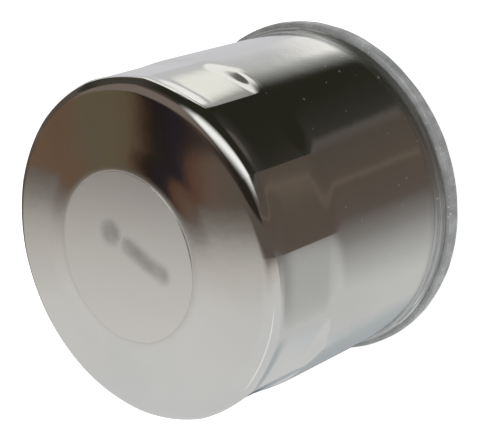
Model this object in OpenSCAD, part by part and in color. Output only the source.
// Spin-on filter: a drawn, fluted can seamed onto a threaded base, with the
// pleated element, its valves and its springs inside. Stands on its gasket.
// Millimetres. Z is the thread axis, z = 0 is the gasket's sealing face.

/* [Can] */
// Outer diameter of the can's straight wall
can_d = 66; // [58:1:80]
// Height from the underside of the seam to the top of the can
can_h = 57; // [46:1:80]
// Sheet thickness of the can
can_wall = 0.6; // [0.5:0.05:0.8]
// Outside radius between the end and the wall
shoulder_r = 3.4; // [3:0.1:5]
// Diameter of the flat land in the middle of the end
land_d = 32.8; // [20:0.2:42]
// Height of the land above the crown around it
land_step = 0.15; // [0.1:0.05:0.6]
// Radius of the crown's curve
crown_r = 150; // [120:10:300]
// Thickness of the round label on the land
label_t = 0.15; // [0.1:0.05:0.3]

/* [Wrench flutes] */
// Number of flats for the cap wrench
flute_count = 14; // [12:1:18]
// Distance from the can's top to the flats' ends
flute_len = 17.8; // [14:0.2:24]
// Radius of the run-out at the end of each flat
flute_runout_r = 7; // [3:0.5:8]

/* [Seam and lid] */
// Height of the double seam
seam_h = 3.3; // [3:0.1:4.2]
// How far the can flares out above the seam
flare_w = 0.8; // [0.4:0.1:1]
// Height of that flare
flare_h = 2.2; // [1.5:0.1:3]
// Sheet thickness of the lid
lid_t = 0.5; // [0.4:0.05:0.6]
// Height of the gasket channel's floor above the seam's underside
channel_h = 2.6; // [2.2:0.1:4]
// Number of pinches that hold the gasket in its channel
pinch_count = 6; // [3:1:10]

/* [Gasket] */
// How far the gasket stands out below the seam
gasket_proud = 1.6; // [1:0.1:2.5]
// Radial width of the gasket
gasket_w = 4.6; // [3:0.1:5.5]

/* [Tapping plate] */
// Thickness of the tapping plate
plate_t = 3; // [2:0.1:4]
// Nominal thread diameter
thread_d = 20; // [16:0.5:24]
// Thread pitch
thread_pitch = 1.5; // [1:0.25:1.75]
// Length of the threaded hub above the plate
hub_len = 8.5; // [6:0.1:11]
// Wall of the hub outside the thread
hub_wall = 1.6; // [1.2:0.1:2.5]
// Number of oil inlet holes
inlet_count = 8; // [5:1:9]
// Diameter of an inlet hole
inlet_d = 5.5; // [3:0.1:6.5]

/* [Anti-drain valve] */
// Wall of the valve's sleeve
sleeve_t = 1.5; // [1:0.1:2]
// Thickness of the skirt
skirt_t = 1; // [0.8:0.1:1.3]
// Height of the skirt's seat for the element above the tapping plate
seat_h = 4.3; // [3.5:0.1:5]

/* [Element] */
// Gap between the element and the flats inside the can
annulus = 3.2; // [2:0.1:5]
// Sheet thickness of the end caps
cap_t = 0.5; // [0.4:0.05:0.7]
// Height of the end caps' outer rims
cap_rim = 3.5; // [2.5:0.1:5]
// Depth of the adhesive in each end cap
potting_t = 1.5; // [1:0.1:2]
// Sheet thickness of the centre tube
tube_t = 0.4; // [0.3:0.05:0.6]
// Diameter of a centre tube hole
tube_hole_d = 3; // [2:0.1:3.5]
// Holes in one ring of the centre tube
tube_ring_holes = 10; // [6:1:12]
// Number of pleats
pleat_count = 44; // [30:1:46]
// Thickness of the filter paper
paper_t = 0.7; // [0.5:0.05:0.75]

/* [Bypass valve] */
// Diameter of the hole that the valve closes
bypass_hole_d = 14; // [10:0.5:15]
// Diameter of the valve's plate
poppet_d = 18; // [17:0.5:19]
// How far the valve opens
bypass_lift = 2.5; // [1:0.1:3]
// Depth of the valve's cage
cage_h = 11; // [10:0.5:13]
// Wire diameter of the valve's spring
wire_d = 1; // [0.8:0.05:1.1]
// Turns of the valve's spring
spring_turns = 4; // [3:0.5:4]
// Diameter of the rivet's stem
rivet_d = 4; // [3:0.1:4.5]

/* [Hold-down spring] */
// Height from the element to the inside of the can's top
hold_down_h = 7.5; // [6:0.1:12]
// Sheet thickness of the spring
leaf_t = 0.7; // [0.5:0.05:1]
// Number of arms
arm_count = 4; // [3:1:6]
// Width of an arm
arm_w = 6; // [4:0.5:8]

/* [Hidden] */
$fn = 96;

fit = 0.05;        // gap where two pressed or stacked pieces meet
slack = 0.2;       // gap between pieces that are dropped over each other
running = 0.08;    // radial clearance of the rivet in its guide
eps = 1;           // how far a cutter runs past what it cuts

// Can
can_r = can_d / 2;
bore_r = can_r - can_wall;
seam_z = gasket_proud;
top_z = seam_z + can_h;
land_r = land_d / 2;
label_edge = 0.3;
flat_r = can_r * cos(180 / flute_count);
flute_z = top_z - flute_len;

// Layers of the double seam, from the middle outwards
chuck_r = bore_r - fit - lid_t;
hook_r = can_r + fit;
fold_r = hook_r + lid_t + fit;
rim_r = fold_r + can_wall + fit;
seam_r = rim_r + lid_t;
seam_top = seam_z + seam_h;
fold_z = seam_z + lid_t + fit;
sealant_h = 0.5;

// Lid channel, gasket and tapping plate
channel_z = seam_z + channel_h;
plate_z = channel_z + lid_t;
plate_top = plate_z + plate_t;
plate_r = bore_r - 3 * slack;
gasket_or = chuck_r - 3 * slack;
gasket_ir = gasket_or - gasket_w;
collar_r = gasket_ir - fit;
collar_drop = channel_h - 0.8;
bore_thread_r = (thread_d - 1.0825 * thread_pitch) / 2;
hub_r = thread_d / 2 + hub_wall;
hub_top = plate_top + hub_len;
lead_in = 1;

// Anti-drain valve
sleeve_ir = hub_r + fit;
sleeve_or = sleeve_ir + sleeve_t;
valve_z = plate_top + fit;
seat_z = valve_z + seat_h;
seat_w = 4;
inlet_r = sleeve_or + seat_w + 1.3;
lip_r = inlet_r + inlet_d / 2 + 4;
lip_land = 1;

// Element
element_z = seat_z + fit;
element_r = flat_r - can_wall - annulus;
element_top = top_z - can_wall - hold_down_h;
collar_ir = sleeve_or + slack;
cage_r = poppet_d / 2 + 2.5;
cage_flange = 1.5;
well_r = max(collar_ir + cap_t, cage_r + cage_flange + cap_t + slack);
tube_ir = well_r + slack;
tube_r = tube_ir + tube_t;
rim_ir = element_r - cap_t;
media_z = element_z + cap_t + fit + potting_t;
media_top = element_top - cap_t - fit - potting_t;
media_ir = tube_r + fit + paper_t;
media_or = rim_ir - 0.6 - paper_t / 2;
well_depth = 4;
tube_ring_pitch = 4.4;

// Pleat clip
clip_t = 0.3;
clip_len = 3;

// Bypass valve
valve_seat_z = element_top - well_depth;
seal_t = 1.2;
poppet_t = 0.8;
poppet_rim = 2;
seal_z = valve_seat_z - fit - seal_t;
poppet_z = seal_z - poppet_t;
cage_z = valve_seat_z - fit - cage_h;
rivet_r = rivet_d / 2;
rivet_head_r = rivet_r + 1.4;
rivet_head_t = 0.9;
stem_past = 2;
window_w = 8;
window_d = 5;
guide_h = 2;
spring_r = poppet_d / 2 - 0.8 - wire_d / 2 - slack;
coil_steps = 18;

// Hold-down spring
leaf_z = element_top + fit;
pad_top = top_z - can_wall - fit;
pad_r = 7;
leaf_ring_or = element_r - 1.5;
leaf_ring_ir = leaf_ring_or - 4;

// Outline of the can's end, inset by t from the outside: land, step, crown and shoulder
function crown_drop(r) = land_step + (r * r - land_r * land_r) / (2 * crown_r);
crown_slope = asin((can_r - shoulder_r) / (crown_r - shoulder_r));
shoulder_cr = can_r - shoulder_r;
meet_r = shoulder_cr + shoulder_r * sin(crown_slope);
shoulder_cz = top_z - crown_drop(meet_r) - shoulder_r * cos(crown_slope);
crown_steps = 4;
shoulder_steps = 6;
function end_outline(t) = concat(
    [[0, top_z - t], [land_r - t * 0.3, top_z - t]],
    [for (i = [0 : crown_steps - 1])
        let (r = land_r + 0.5 + (meet_r - land_r - 0.5) * i / crown_steps)
        [r, top_z - crown_drop(r) - t]],
    [for (i = [0 : shoulder_steps])
        let (a = 90 - crown_slope - (90 - crown_slope) * i / shoulder_steps)
        [shoulder_cr + (shoulder_r - t) * cos(a),
         shoulder_cz + (shoulder_r - t) * sin(a)]]);

// Solid inside the outline that is inset by t, down to the given height
module can_solid(t, bottom) {
    difference() {
        rotate_extrude()
            polygon(concat([[0, bottom]], end_outline(t), [[can_r - t, bottom]]));
        for (i = [0 : flute_count - 1])
            rotate([0, 0, i * 360 / flute_count]) {
                translate([flat_r - t, -can_r / 2, flute_z])
                    cube([can_r, can_r, can_h]);
                translate([flat_r + flute_runout_r, 0, flute_z])
                    rotate([90, 0, 0])
                        cylinder(r = flute_runout_r + t, h = can_r, center = true);
            }
    }
}

// Ring of rectangular section
module ring(inner, outer, low, high) {
    rotate_extrude()
        translate([inner, low]) square([outer - inner, high - low]);
}

module can() {
    color([0.8, 0.8, 0.82]) {
        difference() {
            can_solid(0, fold_z);
            can_solid(can_wall, fold_z - eps);
        }
        rotate_extrude()
            polygon([[can_r - fit, fold_z], [fold_r + can_wall, fold_z],
                     [fold_r + can_wall, seam_top - lid_t - fit],
                     [fold_r, seam_top - lid_t - fit],
                     [fold_r, fold_z + can_wall], [can_r - fit, fold_z + can_wall]]);
        flare();
    }
}

module end_label() {
    color([0.67, 0.67, 0.65])
        cylinder_between(land_r - label_edge, top_z, top_z + label_t);
}

module flare() {
    low = seam_top + fit;
    rotate_extrude()
        polygon([[bore_r, low], [can_r + flare_w, low],
                 [can_r, low + flare_h], [bore_r, low + flare_h]]);
}

module seaming_lid() {
    hook_end = fold_z + can_wall + sealant_h + 2 * fit;
    color([0.6, 0.62, 0.63])
        difference() {
            rotate_extrude()
                polygon([[chuck_r, seam_z], [seam_r, seam_z], [seam_r, seam_top],
                         [hook_r, seam_top], [hook_r, hook_end],
                         [hook_r + lid_t, hook_end], [hook_r + lid_t, seam_top - lid_t],
                         [rim_r, seam_top - lid_t], [rim_r, seam_z + lid_t],
                         [chuck_r + lid_t, seam_z + lid_t], [chuck_r + lid_t, plate_z],
                         [collar_r - lid_t, plate_z],
                         [collar_r - lid_t, channel_z - collar_drop],
                         [collar_r, channel_z - collar_drop], [collar_r, channel_z],
                         [chuck_r, channel_z]]);
            for (i = [0 : pinch_count - 1])
                rotate([0, 0, (i + 0.5) * 360 / pinch_count])
                    translate([collar_r - lid_t * 1.5, 0, channel_z - collar_drop])
                        rotate([0, 90, 0]) cylinder(d = 1.6, h = 2 * lid_t, $fn = 32);
        }
}

module seam_sealant() {
    color([0.75, 0.7, 0.55])
        ring(hook_r, hook_r + lid_t, fold_z + can_wall + fit,
             fold_z + can_wall + fit + sealant_h);
}

module tapping_plate() {
    color([0.72, 0.72, 0.7])
        difference() {
            union() {
                cylinder_between(plate_r, plate_z, plate_top);
                cylinder_between(hub_r, plate_z, hub_top);
            }
            cylinder_between(bore_thread_r, plate_z - eps, hub_top + eps);
            translate([0, 0, plate_z - lead_in])
                cylinder(r1 = bore_thread_r + 2 * lead_in, r2 = bore_thread_r,
                         h = 2 * lead_in);
            for (i = [0 : inlet_count - 1])
                rotate([0, 0, (i + 0.5) * 360 / inlet_count])
                    translate([inlet_r, 0, 0])
                        cylinder_between(inlet_d / 2, plate_z - eps, plate_top + eps);
        }
}

module cylinder_between(r, low, high) {
    translate([0, 0, low]) cylinder(r = r, h = high - low);
}

module sealing_gasket() {
    bevel = 0.4;
    color([0.08, 0.08, 0.08])
        rotate_extrude()
            polygon([[gasket_ir + bevel, 0], [gasket_or - bevel, 0],
                     [gasket_or, bevel], [gasket_or, channel_z - fit],
                     [gasket_ir, channel_z - fit], [gasket_ir, bevel]]);
}

module anti_drain_valve() {
    color([0.85, 0.35, 0.12])
        rotate_extrude()
            polygon([[sleeve_ir, valve_z], [sleeve_or, valve_z],
                     [sleeve_or, seat_z - skirt_t], [sleeve_or + seat_w, seat_z - skirt_t],
                     [lip_r - lip_land, valve_z], [lip_r, valve_z],
                     [lip_r, valve_z + skirt_t], [sleeve_or + seat_w, seat_z],
                     [sleeve_or, seat_z], [sleeve_or, hub_top - lead_in],
                     [sleeve_ir, hub_top - lead_in]]);
}

module lower_end_cap() {
    color([0.7, 0.68, 0.55]) {
        ring(collar_ir, element_r, element_z, element_z + cap_t);
        ring(collar_ir, collar_ir + cap_t, element_z, element_z + cap_rim);
        ring(rim_ir, element_r, element_z, element_z + cap_rim);
    }
}

module upper_end_cap() {
    color([0.7, 0.68, 0.55]) {
        ring(well_r - cap_t, element_r, element_top - cap_t, element_top);
        ring(rim_ir, element_r, element_top - cap_rim, element_top);
        ring(well_r - cap_t, well_r, valve_seat_z, element_top);
        ring(bypass_hole_d / 2, well_r, valve_seat_z, valve_seat_z + cap_t);
    }
}

module centre_tube() {
    low = element_z + cap_t + fit;
    high = element_top - cap_t - fit;
    rings = floor((high - low - 2 * cap_rim) / tube_ring_pitch);
    start = (low + high - (rings - 1) * tube_ring_pitch) / 2;
    color([0.65, 0.67, 0.7])
        difference() {
            ring(tube_ir, tube_r, low, high);
            for (k = [0 : rings - 1], i = [0 : tube_ring_holes - 1])
                rotate([0, 0, (i + (k % 2) / 2) * 360 / tube_ring_holes])
                    translate([tube_ir - eps, 0, start + k * tube_ring_pitch])
                        rotate([0, 90, 0])
                            cylinder(d = tube_hole_d, h = tube_t + 2 * eps, $fn = 24);
        }
}

module pleated_media() {
    color([0.86, 0.74, 0.45])
        translate([0, 0, media_z + fit])
            linear_extrude(media_top - media_z - 2 * fit)
                difference() {
                    polygon(pleat_side(1));
                    polygon(pleat_side(-1));
                }
}

// A pleat's face keeps half the paper's thickness from the fold line along both legs
function pleat_side(side) = [for (i = [0 : 2 * pleat_count - 1])
    let (a = i * 180 / pleat_count,
         outer = i % 2 == 0,
         r = outer ? media_or : media_ir,
         other = outer ? media_ir : media_or,
         step = 180 / pleat_count,
         leg_dx = other * cos(step) - r,
         leg_dy = other * sin(step),
         half_angle = atan2(leg_dy, abs(leg_dx)),
         reach = min(paper_t / 2 / sin(half_angle), paper_t * 1.6),
         tip = outer == (side > 0) ? min(reach, paper_t / 2) : reach)
    [(r + side * tip) * cos(a), (r + side * tip) * sin(a)]];

module pleat_clip() {
    half_w = paper_t + 0.45;
    outer = media_or + paper_t / 2 + fit + clip_t;
    color([0.75, 0.75, 0.78])
        translate([0, 0, media_z + 2 * fit])
            linear_extrude(media_top - media_z - 4 * fit)
                difference() {
                    translate([outer - clip_len, -half_w - clip_t])
                        square([clip_len, 2 * (half_w + clip_t)]);
                    translate([outer - clip_len - eps, -half_w])
                        square([clip_len - clip_t + eps, 2 * half_w]);
                }
}

module potting(low) {
    color([0.25, 0.3, 0.6])
        ring(tube_r + fit, rim_ir - fit, low, low + potting_t);
}

module lower_potting() {
    potting(media_z - potting_t);
}

module upper_potting() {
    potting(media_top);
}

module bypass_cage() {
    top = valve_seat_z - fit;
    color([0.6, 0.6, 0.58])
        difference() {
            union() {
                ring(cage_r - cap_t, cage_r + cage_flange, top - cap_t, top);
                ring(cage_r - cap_t, cage_r, cage_z, top);
                ring(rivet_r + running, cage_r, cage_z, cage_z + cap_t);
                ring(rivet_r + running, rivet_r + running + cap_t, cage_z, cage_z + guide_h);
            }
            for (a = [0, 90])
                rotate([0, 0, a + 45])
                    for (side = [-1, 1])
                        translate([side * cage_r - window_d / 2, -window_w / 2, cage_z + 2])
                            cube([window_d, window_w, cage_h - 5]);
        }
}

// Height of the spring's centreline after a number of turns, with a flat turn at each end
function coil_z(turn) =
    let (low = cage_z + cap_t + wire_d / 2 + fit,
         high = poppet_z - wire_d / 2 - fit,
         flat_turn = 0.75,
         rise = high - low - 2 * flat_turn * wire_d,
         middle = spring_turns - 2 * flat_turn)
    turn < flat_turn ? low + wire_d * turn
    : turn > spring_turns - flat_turn ? high - wire_d * (spring_turns - turn)
    : low + wire_d * flat_turn + rise * (turn - flat_turn) / middle;

module bypass_spring() {
    sides = 8;
    count = spring_turns * coil_steps;
    points = [for (k = [0 : count], j = [0 : sides - 1])
        let (a = k * 360 / coil_steps, b = j * 360 / sides,
             r = spring_r + wire_d / 2 * cos(b))
        [r * cos(a), r * sin(a), coil_z(k / coil_steps) + wire_d / 2 * sin(b)]];
    walls = [for (k = [0 : count - 1], j = [0 : sides - 1])
        let (m = k * sides, n = (j + 1) % sides)
        [m + j, m + sides + j, m + sides + n, m + n]];
    ends = [[for (j = [0 : sides - 1]) j],
            [for (j = [sides - 1 : -1 : 0]) count * sides + j]];
    color([0.5, 0.5, 0.52]) polyhedron(points, concat(walls, ends));
}

module bypass_poppet() {
    outer = poppet_d / 2;
    color([0.68, 0.66, 0.6]) {
        ring(rivet_r + fit, outer, poppet_z, poppet_z + poppet_t);
        ring(outer - 0.8, outer, poppet_z - poppet_rim + poppet_t, poppet_z + poppet_t);
    }
}

module bypass_seal() {
    color([0.1, 0.1, 0.1])
        ring(rivet_r + fit, poppet_d / 2, seal_z + fit, seal_z + seal_t);
}

module bypass_rivet() {
    head_z = seal_z + seal_t + fit;
    swage_z = poppet_z - fit;
    color([0.72, 0.7, 0.66]) {
        cylinder_between(rivet_r, cage_z - stem_past, head_z + rivet_head_t);
        cylinder_between(rivet_head_r, head_z, head_z + rivet_head_t);
        cylinder_between(rivet_r + 0.6, swage_z - 1, swage_z);
    }
}

module hold_down_spring() {
    run = leaf_ring_ir - pad_r + 2 * leaf_t;
    rise = pad_top - leaf_z - leaf_t;
    slope = atan2(rise, run);
    color([0.35, 0.37, 0.42]) {
        ring(leaf_ring_ir, leaf_ring_or, leaf_z, leaf_z + leaf_t);
        ring(2.5, pad_r, pad_top - leaf_t, pad_top);
        for (i = [0 : arm_count - 1])
            rotate([0, 0, (i + 0.5) * 360 / arm_count])
                translate([leaf_ring_ir + leaf_t, -arm_w / 2, leaf_z])
                    rotate([0, slope - 180, 0])
                        translate([0, 0, -leaf_t])
                            cube([run / cos(slope), arm_w, leaf_t]);
    }
}

can();
end_label();
seaming_lid();
seam_sealant();
tapping_plate();
sealing_gasket();
anti_drain_valve();
lower_end_cap();
upper_end_cap();
centre_tube();
pleated_media();
pleat_clip();
lower_potting();
upper_potting();
bypass_cage();
bypass_spring();
bypass_poppet();
bypass_seal();
bypass_rivet();
hold_down_spring();
